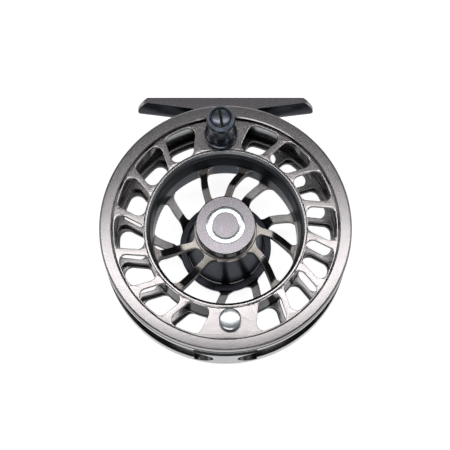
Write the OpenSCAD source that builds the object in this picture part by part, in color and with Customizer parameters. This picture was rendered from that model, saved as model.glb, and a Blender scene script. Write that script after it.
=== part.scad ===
// Large-arbor fly reel with a sealed conical drag, lying on its drag knob.
// The spool turns about Z, the handle side faces up and the rod foot points along +Y.
// Origin: centre of the drag knob's flat back face. Millimetres.

/* [Frame] */
// Outer radius of the frame
frame_r = 43.2; // [42.8:0.1:44]
// Radius of the front ring's opening, which the spool rim runs inside
ring_inner_r = 38.95; // [38.9:0.05:39.2]
// Inner radius of the side wall and the rear ring
wall_inner_r = 40.2; // [40:0.1:40.8]
// Height of the front ring's face above the resting plane
face_z = 40; // [39.8:0.1:40.4]
// Height of the frame's rear edge above the resting plane
rear_z = 12.5; // [12.2:0.1:12.8]
// How far the lower pillar stands proud of the frame
palm_pad_proud = 0.6; // [0.2:0.1:1]

/* [Foot] */
// Length of the foot along the rod
foot_len = 62; // [60:1:66]
// Width of the foot across the rod
foot_w = 13; // [12:0.5:13.5]
// Depth of the hollow that seats on the rod
foot_sag = 2; // [1.5:0.1:2.2]
// Thickness of the foot at its tips
foot_tip_t = 1.15; // [1:0.05:1.4]
// Thickness of the foot where it meets its block
foot_root_t = 3.5; // [3:0.1:4]

/* [Spool] */
// Outer radius of both spool flanges
flange_r = 38.7; // [38.4:0.1:38.8]
// Thickness of the front flange
flange_t = 1.7; // [1.5:0.1:2]
// Outer radius of the arbor that the line is wound on
arbor_r = 28; // [27.6:0.1:28.2]
// How far the spool is turned from the handle-up position, in degrees
spool_turn = 2.75; // [0:0.25:20]
// Width of one front flange spoke
spoke_w = 2.2; // [1.8:0.1:2.6]
// Width of one rear flange spoke
rear_spoke_w = 1.6; // [1.4:0.1:2.2]
// Width of one spoke in the frame's rear plate
plate_spoke_w = 2.4; // [2:0.1:2.8]
// How far each spoke leans clockwise from its inner to its outer end
spoke_lean = 6.2; // [2:0.1:7]
// Corner radius of the windows in both flanges
window_corner_r = 2.4; // [1.5:0.1:3]
// Corner radius of the windows in the rear plate
plate_corner_r = 2.8; // [2:0.1:3.2]

/* [Handle] */
// Distance of the handle from the spool axis
handle_at_r = 33; // [32.6:0.1:33.4]
// Height of the handle knob above the flange
handle_h = 20.6; // [19:0.1:22]
// Distance of the counterweight from the spool axis
weight_at_r = 32.2; // [31.8:0.1:32.6]
// Radius of the counterweight
weight_r = 3.75; // [3.4:0.05:4]

/* [Hub and drag] */
// Radius of the hub cap
cap_r = 10.25; // [10:0.05:10.4]
// How far the hub cap stands above the front ring's face
cap_rise = 1.5; // [0.5:0.1:2]
// Radius of the drag knob
knob_r = 15; // [14:0.5:16]
// Number of grip grooves around the drag knob
knob_grooves = 24; // [16:1:30]

/* [Hidden] */
$fn = 96;
eps = 0.01;
// One washer-thin gap between parts that turn past each other face to face
turn_gap = 0.3;
// Radial clearance of a shaft that runs in a bore
run_fit = 0.05;

// Frame heights
ring_depth = 6.6;
ring_rear_z = face_z - ring_depth;
rear_ring_top_z = rear_z + 7.3;
plate_z = rear_z + 0.5;
plate_t = 2;
slot_h = ring_rear_z - rear_ring_top_z;
slot_mid_z = (ring_rear_z + rear_ring_top_z) / 2;
// Radii of the rear plate's inner edge and of the hub behind it
plate_band_r = 26.2;
hub_r = 16.2;
hub_z = 5.6;
hub_floor_t = 2.6;
brim_r = 16.35;
brim_t = 1;
brim_z = hub_z + hub_floor_t;

// Half widths of the side wall's pillars at mid height
foot_pillar_half_w = 24.5;
side_pillar_half_w = 3.6;
palm_pillar_half_w = 4.1;

// Foot: the hollow is a cylinder along X
foot_mid_z = 27;
foot_top_y = 48.1;
foot_hollow_r = ((foot_w / 2) * (foot_w / 2) + foot_sag * foot_sag) / (2 * foot_sag);
foot_axis_y = foot_top_y - foot_sag + foot_hollow_r;
foot_block_half_len = 11.4;
foot_end_r = 7.7;
foot_screw_x = 6;
foot_screw_r = 1.5;
foot_screw_head_r = 2.9;

// Spool heights
flange_top_z = face_z - 2.3;
flange_z = flange_top_z - flange_t;
rear_flange_z = plate_z + plate_t + 2.5;
rear_flange_t = 1.5;
arbor_lip_z = flange_top_z + 0.4;
arbor_front_inner_r = 26.3;
arbor_rear_inner_r = 25.2;
spokes_per_side = 6;
spoke_pitch = 22.27;
// Windows of each layer: inner and outer radius, the two solid pads' half angles
// at those radii, corner radius, spoke width and the angle the layer is turned by
front_windows = [[28.2, 38.1], [16.2, 14.6], window_corner_r, spoke_w, spool_turn];
rear_windows = [[28.2, 38.1], [14.2, 13], window_corner_r, rear_spoke_w, spool_turn - 1.75];
plate_windows = [[27.6, 37.5], [14, 12.8], plate_corner_r, plate_spoke_w, 1.75];
// The spokes' inner ends are turned back by the rest of the lean
spoke_outer_offset = 1.8;

// Spool centre
collar_r = 10.85;
collar_bore_r = 8.6;
collar_z = [31.6, 35];
arm_w = 2.4;
arm_pair_half_angle = 16.5;
arm_turn = 3;
arm_swirl = 14.5;
arm_fillet = 2.2;
arm_front_z = 26.5;
arm_t = 3;
arm_knee = [16.4, 33.9];
// Arms of the frame's back
plate_arm_w = 2.8;
plate_arm_t = 2.6;
plate_arm_turn = 53;
plate_arm_swirl = 13;
plate_arm_pair_half_angle = 18;
plate_arm_knee = [18.2, 14];

// Handle, measured up from the flange
handle_post_r = 2.2;
handle_bush_r = 2.9;
handle_cap_r = 3.35;
handle_cap_t = 2.6;
weight_h = 3.3;
stud_r = 1.5;
stud_head_r = 2.5;
stud_head_t = 0.9;

// Hub and drag, inner parts
spindle_r = 3;
drive_r = 7;
drive_bore_r = 6;
drive_z = [12.6, 36.4];
cap_top_z = face_z + cap_rise;
cap_ring_r = [4.4, 6.6];
clutch_r = 9;
housing_top_z = 31;
knob_top_z = hub_z - turn_gap;

// A point at a clockwise angle from +Y, seen from the handle side
function at(angle, r) = [r * sin(angle), r * cos(angle)];

module ring(r_in, r_out, z, h) {
    translate([0, 0, z])
        difference() {
            cylinder(r = r_out, h = h);
            translate([0, 0, -1]) cylinder(r = r_in, h = h + 2);
        }
}

// One window of a flange, given its two side spokes' clockwise angles at each end
module window_shape(inner_edges, outer_edges, r) {
    steps = 6;
    inner_step = (inner_edges[1] - inner_edges[0]) / steps;
    outer_step = (outer_edges[1] - outer_edges[0]) / steps;
    inner = [for (i = [0:steps]) at(inner_edges[0] + inner_step * i, r[0])];
    outer = [for (i = [steps:-1:0]) at(outer_edges[0] + outer_step * i, r[1])];
    polygon(concat(inner, outer));
}

// Clockwise angles of one window's two sides at radius r, before it leans
function window_edges(k, r, pad, w) =
    let (
        half_span = spoke_pitch * (spokes_per_side - 1) / 2,
        half_spoke = asin(w / 2 / r),
        first = 90 - half_span + spoke_pitch * (k - 1)
    )
    [k == 0 ? pad : first + half_spoke,
     k == spokes_per_side ? 180 - pad : first + spoke_pitch - half_spoke];

// All fourteen windows of one layer, with a solid pad near 0 and near 180 degrees
module layer_windows(layer) {
    r = layer[0];
    pad = layer[1];
    corner_r = layer[2];
    w = layer[3];
    lean = [spoke_outer_offset - spoke_lean, spoke_outer_offset];
    offset(r = corner_r, $fn = 32)
        offset(delta = -corner_r)
            for (side = [0, 180], k = [0:spokes_per_side])
                window_shape(
                    window_edges(k, r[0], pad[0], w) + [1, 1] * (side + lean[0]),
                    window_edges(k, r[1], pad[1], w) + [1, 1] * (side + lean[1]),
                    r
                );
}

// A flat ring with fourteen windows cut through it
module windowed_plate(r_in, r_out, z, h, layer) {
    difference() {
        ring(r_in, r_out, z, h);
        translate([0, 0, z - 1])
            rotate([0, 0, layer[4]])
                linear_extrude(h + 2) layer_windows(layer);
    }
}

// One arm: a strip that follows a spiral from the inner radius to the outer one
module arm_strip(outer_angle, swirl, r_in, r_out, w) {
    steps = 5;
    half_side = [for (i = [0:steps])
        let (t = i / steps, r = r_in + (r_out - r_in) * t)
            [outer_angle - swirl * (1 - t), asin(w / 2 / r), r]];
    polygon(concat(
        [for (p = half_side) at(p[0] - p[1], p[2])],
        [for (i = [steps:-1:0]) at(half_side[i][0] + half_side[i][1], half_side[i][2])]
    ));
}

// Three pairs of swirling arms between two radii, cut from a solid of revolution
module arm_shapes(r_in, r_out, pair_half, swirl, w) {
    offset(r = -arm_fillet, $fn = 32)
        offset(delta = arm_fillet)
            union() {
                difference() {
                    circle(r = r_out + 2.5);
                    circle(r = r_out + 0.6);
                }
                difference() {
                    circle(r = r_in - 0.6);
                    circle(r = r_in - 2.5);
                }
                for (turn = [0, 120, 240], side = [-1, 1])
                    arm_strip(turn + side * pair_half, swirl, r_in - 1, r_out + 1, w);
            }
}

// ---- Frame ----

module frame_front_ring() {
    edge = 0.9;
    groove = [1.6, 3.4, 0.7];
    color([0.44, 0.42, 0.43])
        rotate_extrude()
            polygon(concat(
                [[ring_inner_r, ring_rear_z], [ring_inner_r, face_z - 0.35],
                 [ring_inner_r + 0.35, face_z]],
                [for (a = [90:-15:0])
                    [frame_r - edge + edge * cos(a), face_z - edge + edge * sin(a)]],
                [[frame_r, face_z - groove[0]],
                 [frame_r - groove[2], face_z - groove[0] - 0.3],
                 [frame_r - groove[2], face_z - groove[1] + 0.3],
                 [frame_r, face_z - groove[1]],
                 [frame_r, ring_rear_z + 0.35], [frame_r - 0.35, ring_rear_z]]
            ));
}

// Stretch of side wall, wide where it meets the rings and narrow at mid height
module pillar(angle, half_w, outer_r) {
    end_half_w = half_w + slot_h / 2;
    reach = outer_r + 5;
    rotate([0, 0, -angle])
        difference() {
            intersection() {
                ring(wall_inner_r, outer_r, rear_ring_top_z, slot_h);
                translate([-end_half_w, 10, rear_ring_top_z - 1])
                    cube([2 * end_half_w, reach, slot_h + 2]);
            }
            for (side = [-1, 1])
                translate([side * end_half_w, 10, slot_mid_z])
                    rotate([-90, 0, 0]) cylinder(r = slot_h / 2, h = reach);
        }
}

// Wide stretch of the wall that the foot is screwed to
module foot_pillar() {
    color([0.42, 0.40, 0.41])
        difference() {
            pillar(0, foot_pillar_half_w, frame_r);
            foot_screw_cuts(foot_screw_r);
        }
}

module frame_pillars() {
    color([0.42, 0.40, 0.41]) {
        pillar(180, palm_pillar_half_w, frame_r + palm_pad_proud);
        for (angle = [90, 270])
            pillar(angle, side_pillar_half_w, frame_r);
    }
}

module frame_rear_ring() {
    edge = 1.4;
    color([0.40, 0.38, 0.39])
        rotate_extrude()
            polygon(concat(
                [[wall_inner_r, rear_ring_top_z], [wall_inner_r, rear_z]],
                [for (a = [-90:15:0])
                    [frame_r - edge + edge * cos(a), rear_z + edge + edge * sin(a)]],
                [[frame_r, rear_ring_top_z]]
            ));
}

// Flat plate with fourteen windows, inside the rear ring
module frame_rear_plate() {
    color([0.40, 0.38, 0.39])
        windowed_plate(plate_band_r, wall_inner_r, plate_z, plate_t, plate_windows);
}

// Three pairs of arms, level with the plate and then bent back to the hub
module frame_rear_arms() {
    color([0.62, 0.60, 0.59])
        intersection() {
            rotate_extrude()
                polygon([
                    [hub_r, brim_z - 0.1], [hub_r, hub_z + 0.6],
                    [plate_arm_knee[0] + 0.6, plate_arm_knee[1] - plate_arm_t],
                    [plate_band_r, plate_z], [plate_band_r, plate_z + plate_t],
                    plate_arm_knee, [brim_r + 0.15, brim_z - 0.1]
                ]);
            rotate([0, 0, -plate_arm_turn])
                linear_extrude(face_z)
                    arm_shapes(hub_r, plate_band_r, plate_arm_pair_half_angle, plate_arm_swirl,
                        plate_arm_w);
        }
}

module frame_hub() {
    color([0.40, 0.38, 0.39])
        difference() {
            rotate_extrude()
                polygon([
                    [0, hub_z], [hub_r - 0.6, hub_z], [hub_r, hub_z + 0.6],
                    [hub_r, brim_z], [0, brim_z]
                ]);
            translate([0, 0, hub_z - 1]) cylinder(r = spindle_r, h = hub_floor_t + 2);
            for (k = [0:2]) {
                rotate([0, 0, 120 * k]) translate([6.8, 0, hub_z - 1])
                    cylinder(r = 1, h = hub_floor_t + 2);
                rotate([0, 0, 120 * k + 60]) translate([11, 0, hub_z - 1])
                    cylinder(r = 0.8, h = hub_floor_t + 2);
                rotate([0, 0, 120 * k + 60]) translate([11, 0, hub_z - eps])
                    cylinder(r1 = 1.6, r2 = 0.8, h = 0.8);
            }
            rotate([0, 0, 30]) translate([10.5, 0, hub_z - eps]) cylinder(r = 1.05, h = 1.9);
        }
}

// ---- Foot ----

module foot_screw_cuts(r) {
    for (side = [-1, 1])
        translate([side * foot_screw_x, wall_inner_r - 1, foot_mid_z])
            rotate([-90, 0, 0]) cylinder(r = r, h = 12);
}

module foot_outline() {
    end_x = foot_len / 2 - foot_end_r;
    intersection() {
        square([foot_len, foot_w], center = true);
        union() {
            square([2 * end_x, foot_w + 2], center = true);
            for (side = [-1, 1]) translate([side * end_x, 0]) circle(r = foot_end_r);
        }
    }
}

module reel_foot() {
    tip_r = foot_hollow_r + foot_tip_t;
    root_r = foot_hollow_r + foot_root_t;
    taper_len = foot_len / 2 - foot_block_half_len;
    color([0.27, 0.26, 0.28])
        difference() {
            intersection() {
                union() {
                    for (side = [0, 1]) mirror([side, 0, 0])
                        translate([foot_block_half_len, foot_axis_y, foot_mid_z])
                            rotate([0, 90, 0])
                                cylinder(r1 = root_r, r2 = tip_r, h = taper_len);
                    translate([-foot_block_half_len, foot_axis_y, foot_mid_z])
                        rotate([0, 90, 0])
                            cylinder(r = root_r, h = 2 * foot_block_half_len);
                    translate([-foot_block_half_len, 40, foot_mid_z - foot_w / 2])
                        cube([2 * foot_block_half_len, foot_top_y - 40, foot_w]);
                }
                translate([0, foot_top_y, foot_mid_z])
                    rotate([90, 0, 0]) linear_extrude(12) foot_outline();
            }
            translate([-foot_len, foot_axis_y, foot_mid_z])
                rotate([0, 90, 0]) cylinder(r = foot_hollow_r, h = 2 * foot_len);
            translate([0, 0, rear_z]) cylinder(r = frame_r, h = face_z);
            foot_screw_cuts(foot_screw_r);
            for (side = [-1, 1])
                translate([side * foot_screw_x, foot_top_y - foot_sag - 1.4, foot_mid_z])
                    rotate([-90, 0, 0])
                        cylinder(r1 = foot_screw_r, r2 = foot_screw_head_r + 0.14, h = 1.55);
        }
}

module foot_screws() {
    head_y = foot_top_y - foot_sag - 1.4;
    color([0.75, 0.75, 0.77])
        for (side = [-1, 1])
            translate([side * foot_screw_x, 0, foot_mid_z]) rotate([-90, 0, 0])
                difference() {
                    union() {
                        translate([0, 0, wall_inner_r + 0.2])
                            cylinder(r = foot_screw_r, h = head_y - wall_inner_r - 0.2);
                        translate([0, 0, head_y])
                            cylinder(r1 = foot_screw_r, r2 = foot_screw_head_r - 0.4, h = 1.1);
                    }
                    translate([0, 0, head_y + 0.2]) cylinder(r = 1.1, h = 2, $fn = 6);
                }
}

// ---- Drag ----

// Outside of the housing, a cone that the spool's centre fits over
module drag_housing() {
    color([0.06, 0.06, 0.07])
        rotate_extrude()
            polygon([
                [drive_r + 0.6, housing_top_z - 1.1], [drive_r + 0.6, housing_top_z],
                [10.1, housing_top_z], [10.7, housing_top_z - 0.6],
                [13.6, brim_z + brim_t + 0.9], [13.9, brim_z + brim_t],
                [brim_r, brim_z + brim_t], [brim_r, brim_z],
                [10.2, brim_z], [10.2, brim_z + 1.6], [12.4, brim_z + 1.6],
                [9.6, housing_top_z - 2.6], [8.5, housing_top_z - 2.6],
                [8.5, housing_top_z - 1.1]
            ]);
}

module housing_screws() {
    color([0.7, 0.7, 0.72])
        for (k = [0:2])
            rotate([0, 0, 120 * k + 60]) translate([11, 0, 0])
                difference() {
                    union() {
                        translate([0, 0, hub_z]) cylinder(r = 0.8, h = hub_floor_t);
                        translate([0, 0, hub_z]) cylinder(r1 = 1.5, r2 = 0.8, h = 0.7);
                    }
                    translate([0, 0, hub_z - 1]) cylinder(r = 0.5, h = 1.5, $fn = 6);
                }
}

module spindle() {
    flange_base_z = brim_z;
    color([0.78, 0.78, 0.8])
        rotate_extrude()
            polygon([
                [0, 2.2], [2.4, 2.2], [2.4, hub_z - 0.6], [spindle_r, hub_z - 0.6],
                [spindle_r, flange_base_z], [5, flange_base_z], [5, flange_base_z + 1.2],
                [spindle_r, flange_base_z + 1.2], [spindle_r, 37.8], [2.6, 38.2], [0, 38.2]
            ]);
}

module drag_cone() {
    color([0.16, 0.16, 0.17])
        rotate_extrude()
            polygon([[clutch_r, 12.6], [11.8, 12.6], [9.68, 27], [clutch_r, 27]]);
}

// One-way roller clutch: a shell with a ring of rollers inside it
module roller_clutch() {
    shell_in_r = clutch_r - 0.45;
    roller_r = (shell_in_r - drive_r - run_fit) / 2;
    color([0.65, 0.65, 0.68]) {
        ring(shell_in_r, clutch_r, 14, 12);
        for (k = [0:13])
            rotate([0, 0, k * 360 / 14])
                translate([drive_r + run_fit + roller_r, 0, 15])
                    cylinder(r = roller_r, h = 10, $fn = 24);
    }
}

// Two disc springs, mouth to mouth
module drag_springs() {
    color([0.55, 0.57, 0.6])
        for (flip = [0, 1])
            translate([0, 0, 11.6]) mirror([0, 0, flip])
                rotate_extrude()
                    polygon([[6.2, 0.4], [9.4, 0], [9.4, 0.35], [6.2, 0.75]]);
}

module drag_pusher() {
    color([0.6, 0.6, 0.63]) {
        ring(5.4, 9.6, brim_z + 1.7, 0.9);
        for (k = [0:2])
            rotate([0, 0, 120 * k]) translate([6.8, 0, hub_z - 0.1])
                cylinder(r = 0.9, h = hub_floor_t + 1.8);
    }
}

module thrust_washer() {
    color([0.8, 0.78, 0.6]) ring(5.6, 8.4, hub_z - 0.7, 0.6);
}

module shaft_seal() {
    color([0.1, 0.1, 0.1])
        translate([0, 0, housing_top_z - 1.85])
            rotate_extrude() translate([drive_r + 0.05 + 0.68, 0]) circle(r = 0.68, $fn = 32);
}

module detent_ball() {
    color([0.85, 0.85, 0.87])
        rotate([0, 0, 30]) translate([10.5, 0, hub_z - 0.1]) sphere(r = 1, $fn = 32);
}

module detent_spring() {
    color([0.7, 0.7, 0.7])
        rotate([0, 0, 30]) translate([10.5, 0, hub_z + 0.95])
            difference() {
                cylinder(r = 0.9, h = 0.9);
                translate([0, 0, -1]) cylinder(r = 0.6, h = 3);
            }
}

module drag_knob() {
    cup_r = 12.4;
    cup_z = 1.6;
    color([0.20, 0.20, 0.21])
        difference() {
            rotate_extrude()
                polygon([
                    [0, 0], [knob_r - 1.6, 0], [knob_r - 0.5, 0.4], [knob_r, 1.2],
                    [knob_r, knob_top_z - 0.9], [knob_r - 0.9, knob_top_z],
                    [cup_r, knob_top_z], [cup_r, cup_z], [0, cup_z]
                ]);
            for (k = [0:knob_grooves - 1])
                rotate([0, 0, 360 * k / knob_grooves])
                    translate([knob_r + 0.5, 0, -1]) cylinder(r = 1.1, h = knob_top_z + 2);
            rotate([0, 0, 90]) translate([knob_r - 3.4, 0, -1]) cylinder(r = 0.9, h = 1.7);
        }
}

module knob_index() {
    color([0.85, 0.85, 0.83])
        rotate([0, 0, 90]) translate([knob_r - 3.4, 0, 0.1]) cylinder(r = 0.9, h = 0.6);
}

module knob_insert() {
    color([0.72, 0.58, 0.3])
        ring(2.45, 5.2, 1.6, 2.9);
}

// ---- Drive hub, which the spool presses onto ----

module drive_hub() {
    color([0.7, 0.7, 0.72])
        difference() {
            union() {
                cylinder_between(drive_r, drive_z[0], drive_z[1] - 0.6);
                translate([0, 0, drive_z[1] - 0.6])
                    cylinder(r1 = drive_r, r2 = drive_r - 0.6, h = 0.6);
            }
            cylinder_between(drive_bore_r, drive_z[0] - 1, drive_z[1] + 1);
        }
}

module cylinder_between(r, low, high) {
    translate([0, 0, low]) cylinder(r = r, h = high - low);
}

module hub_bearings() {
    color([0.8, 0.8, 0.82])
        for (z = [13.2, 32])
            ring(spindle_r + run_fit, drive_bore_r, z, 3);
}

// ---- Spool ----

module spool_front_flange() {
    color([0.50, 0.48, 0.49])
        difference() {
            windowed_plate(arbor_r, flange_r, flange_z, flange_t, front_windows);
            rotate([0, 0, spool_turn]) flange_screw_cuts();
        }
}

module spool_rear_flange() {
    color([0.42, 0.41, 0.42])
        windowed_plate(arbor_r, flange_r, rear_flange_z, rear_flange_t, rear_windows);
}

module spool_arbor() {
    color([0.12, 0.12, 0.14])
        rotate_extrude()
            polygon([
                [arbor_r, rear_flange_z], [arbor_r, flange_top_z],
                [arbor_r - 0.15, arbor_lip_z - 0.1], [arbor_r - 0.35, arbor_lip_z],
                [arbor_front_inner_r + 0.25, arbor_lip_z],
                [arbor_front_inner_r, arbor_lip_z - 0.25],
                [arbor_rear_inner_r + 0.15, arm_front_z], [arbor_rear_inner_r, rear_flange_z]
            ]);
}

// Three pairs of arms from the collar down to the arbor's rear edge
module spool_arms() {
    color([0.55, 0.52, 0.5])
        intersection() {
            rotate_extrude()
                polygon([
                    [collar_r, collar_z[1] - 0.4], [collar_r, collar_z[1] - 0.4 - arm_t],
                    [arm_knee[0] - 0.4, arm_knee[1] - arm_t - 0.3], [22.5, 21.6],
                    [arbor_rear_inner_r, rear_flange_z + 1],
                    [arbor_rear_inner_r, arm_front_z - 0.3], [22.8, arm_front_z], arm_knee
                ]);
            rotate([0, 0, spool_turn - arm_turn])
                linear_extrude(face_z)
                    arm_shapes(collar_r, arbor_rear_inner_r, arm_pair_half_angle, arm_swirl, arm_w);
        }
}

module spool_collar() {
    color([0.62, 0.6, 0.58])
        rotate_extrude()
            polygon([
                [collar_bore_r, collar_z[0]], [collar_r, collar_z[0]],
                [collar_r, collar_z[1] - 0.4], [collar_r - 0.3, collar_z[1]],
                [collar_bore_r, collar_z[1]]
            ]);
}

module hub_bush() {
    color([0.85, 0.83, 0.75])
        ring(drive_r + run_fit, collar_bore_r, collar_z[0], 1.6);
}

// Push-in cap with a raised ring on its face
module hub_cap() {
    rim = 0.35;
    spigot_z = collar_z[0] + 2.4;
    color([0.66, 0.64, 0.67])
        rotate_extrude()
            polygon([
                [0, cap_top_z - 0.3], [cap_ring_r[0], cap_top_z - 0.3],
                [cap_ring_r[0] + 0.3, cap_top_z], [cap_ring_r[1] - 0.3, cap_top_z],
                [cap_ring_r[1], cap_top_z - 0.3], [cap_r - rim, cap_top_z - 0.3],
                [cap_r, cap_top_z - 0.3 - rim], [cap_r, collar_z[1]],
                [collar_bore_r, collar_z[1]], [collar_bore_r, spigot_z],
                [drive_r + 0.3, spigot_z], [drive_r + 0.3, cap_top_z - 2.4],
                [0, cap_top_z - 2.4]
            ]);
}

module cap_seal() {
    color([0.08, 0.08, 0.08])
        ring(drive_r + 0.1, collar_bore_r - 0.05, collar_z[0] + 1.65, 0.7);
}

module flange_screw_cuts() {
    for (spot = [handle_at_r, -weight_at_r])
        translate([0, spot, flange_z - 1]) {
            cylinder(r = stud_r, h = flange_t + 2);
            translate([0, 0, 1 - eps])
                cylinder(r1 = stud_head_r + 0.05, r2 = stud_r, h = stud_head_t + 0.05);
        }
}

// Countersunk screws from inside the spool: one into the post, one into the weight
module flange_screws() {
    color([0.7, 0.7, 0.72])
        rotate([0, 0, spool_turn])
            for (spot = [handle_at_r, -weight_at_r])
                translate([0, spot, flange_z])
                    difference() {
                        union() {
                            cylinder(r1 = stud_head_r - 0.1, r2 = stud_r - 0.1, h = stud_head_t);
                            cylinder(r = stud_r - 0.1, h = flange_t + 1.5);
                        }
                        translate([0, 0, -1]) cylinder(r = 0.8, h = 1.8, $fn = 6);
                    }
}

module counterweight() {
    color([0.86, 0.9, 0.93])
        rotate([0, 0, spool_turn]) translate([0, -weight_at_r, flange_top_z])
            difference() {
                rotate_extrude()
                    polygon(concat(
                        [[0, 0], [weight_r, 0], [weight_r, weight_h - 1.3]],
                        [for (a = [0:10:90])
                            [weight_r * cos(a), weight_h - 1.3 + 1.3 * sin(a)]]
                    ));
                translate([0, 0, -1]) cylinder(r = stud_r - 0.1, h = 2.5);
            }
}

// ---- Handle ----

module handle_place(z) {
    rotate([0, 0, spool_turn]) translate([0, handle_at_r, z]) children();
}

module handle_post() {
    color([0.75, 0.75, 0.78])
        handle_place(flange_top_z)
            difference() {
                union() {
                    cylinder(r = 3.4, h = 0.7);
                    cylinder(r = handle_post_r, h = handle_h - handle_cap_t);
                }
                translate([0, 0, -1]) cylinder(r = stud_r - 0.1, h = 2.5);
                translate([0, 0, handle_h - handle_cap_t - 5]) cylinder(r = 1.25, h = 6);
            }
}

module handle_washer() {
    color([0.15, 0.15, 0.16])
        handle_place(flange_top_z + 0.7)
            ring(handle_post_r + run_fit, 3.4, 0, 0.35);
}

// The turned grip, with a flared foot, a slim waist and a headed end
module handle_grip() {
    base_z = 1.2;
    head_z = handle_h - 4.6;
    color([0.09, 0.1, 0.12])
        handle_place(flange_top_z)
            rotate_extrude()
                polygon([
                    [handle_bush_r, base_z], [5.2, base_z], [5.7, base_z + 0.5],
                    [5.7, base_z + 1.8], [5.3, base_z + 2.4], [5.3, base_z + 3.1],
                    [4.9, base_z + 3.9], [4.5, base_z + 5.4], [4.25, base_z + 7.4],
                    [4.2, base_z + 9.4], [4.3, head_z - 1.8], [4.55, head_z - 0.7],
                    [4.3, head_z - 0.35], [4.3, head_z], [4.75, head_z + 0.4],
                    [4.85, head_z + 1.2], [4.75, head_z + 2.4], [4.4, head_z + 3.5],
                    [3.9, head_z + 4.05], [handle_cap_r + 0.12, head_z + 4.15],
                    [handle_cap_r + 0.12, head_z + 1.6], [handle_bush_r, head_z + 1.6]
                ]);
}

module handle_bushes() {
    color([0.8, 0.7, 0.45])
        handle_place(flange_top_z)
            for (z = [1.3, handle_h - 6.2])
                ring(handle_post_r + run_fit, handle_bush_r, z, 3);
}

// Wide slotted screw with a domed head that closes the end of the grip
module handle_cap_screw() {
    head_z = handle_h - handle_cap_t;
    dome = 0.85;
    color([0.12, 0.14, 0.17])
        handle_place(flange_top_z)
            difference() {
                rotate_extrude()
                    polygon(concat(
                        [[0, head_z - 4.6], [1.2, head_z - 4.6], [1.2, head_z],
                         [handle_cap_r, head_z]],
                        [for (a = [0:15:90])
                            [handle_cap_r * cos(a), handle_h - dome + dome * sin(a)]]
                    ));
                rotate([0, 0, 7]) translate([-0.5, -5, handle_h - 0.9]) cube([1, 10, 3]);
            }
}

frame_front_ring();
foot_pillar();
frame_pillars();
frame_rear_ring();
frame_rear_plate();
frame_rear_arms();
frame_hub();
reel_foot();
foot_screws();
drag_housing();
housing_screws();
spindle();
drag_cone();
roller_clutch();
drag_springs();
drag_pusher();
thrust_washer();
shaft_seal();
detent_spring();
detent_ball();
drag_knob();
knob_insert();
knob_index();
drive_hub();
hub_bearings();
spool_front_flange();
spool_arbor();
spool_rear_flange();
spool_arms();
spool_collar();
hub_bush();
hub_cap();
cap_seal();
counterweight();
flange_screws();
handle_post();
handle_washer();
handle_cap_screw();
handle_grip();
handle_bushes();
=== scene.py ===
import math

import bmesh
import bpy
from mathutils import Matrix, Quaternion, Vector


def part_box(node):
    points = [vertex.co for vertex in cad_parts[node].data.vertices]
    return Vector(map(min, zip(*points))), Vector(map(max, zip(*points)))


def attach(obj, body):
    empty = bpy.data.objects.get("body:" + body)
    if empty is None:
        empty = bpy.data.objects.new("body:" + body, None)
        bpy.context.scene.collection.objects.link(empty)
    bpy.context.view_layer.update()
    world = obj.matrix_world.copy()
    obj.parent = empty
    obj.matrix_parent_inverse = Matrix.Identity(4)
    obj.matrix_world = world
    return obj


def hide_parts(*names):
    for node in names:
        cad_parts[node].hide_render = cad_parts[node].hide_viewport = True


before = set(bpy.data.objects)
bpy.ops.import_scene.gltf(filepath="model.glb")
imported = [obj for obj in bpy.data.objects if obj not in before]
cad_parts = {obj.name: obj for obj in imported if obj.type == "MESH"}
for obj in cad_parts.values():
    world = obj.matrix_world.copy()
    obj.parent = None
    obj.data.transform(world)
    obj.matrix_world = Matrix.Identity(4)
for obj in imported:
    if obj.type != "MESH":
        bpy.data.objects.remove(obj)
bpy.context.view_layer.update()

# Looks of the fly reel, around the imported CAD. The reel's lengths are in millimetres until a mesh is
# made. Angles are in degrees, clockwise from +Y as seen from the handle side.
# A material number is a place in the list of materials that finish_piece is given.
MM = 0.001
TURNED_STEPS = 256
SMALL_TURNED_STEPS = 96
FILLET_STEPS = 4
TINY = 1e-6


def box_mm(node):
    """Lowest and highest corner of a CAD node."""
    low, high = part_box(node)
    return low / MM, high / MM


# ---- Sizes from the frame ----

ring_low, ring_high = box_mm("frame_front_ring")
rear_low, rear_high = box_mm("frame_rear_ring")
plate_low, plate_high = box_mm("frame_rear_plate")
flange_low, flange_high = box_mm("spool_front_flange")
rear_flange_low, rear_flange_high = box_mm("spool_rear_flange")
_, arbor_high = box_mm("spool_arbor")
collar_low, collar_high = box_mm("spool_collar")
cap_low, cap_high = box_mm("hub_cap")
hub_low, hub_high = box_mm("frame_hub")
housing_low, housing_high = box_mm("drag_housing")
_, knob_high = box_mm("drag_knob")
grip_low, grip_high = box_mm("handle_grip")
screw_low, screw_high = box_mm("handle_cap_screw")
weight_low, weight_high = box_mm("counterweight")

FRAME_R = ring_high.x
FACE_Z = ring_high.z
RING_REAR_Z = ring_low.z
REAR_Z = rear_low.z
REAR_RING_TOP_Z = rear_high.z
PLATE_Z = (plate_low.z, plate_high.z)
WALL_INNER_R = plate_high.x
FLANGE_R = flange_high.x
FLANGE_Z = (flange_low.z, flange_high.z)
REAR_FLANGE_Z = (rear_flange_low.z, rear_flange_high.z)
ARBOR_R = arbor_high.x
LIP_Z = arbor_high.z
HANDLE_AT = ((grip_low.x + grip_high.x) / 2, (grip_low.y + grip_high.y) / 2)
WEIGHT_AT = ((weight_low.x + weight_high.x) / 2, (weight_low.y + weight_high.y) / 2)
SPOOL_TURN = math.degrees(math.atan2(-HANDLE_AT[0], HANDLE_AT[1]))

# ---- Sizes inside those boxes ----

RING_INNER_R = 38.95
PLATE_BAND_R = 26.2
SPOKES_PER_SIDE = 6
SPOKE_PITCH = 22.27
SPOKE_LEAN = (-4.4, 1.8)
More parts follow.
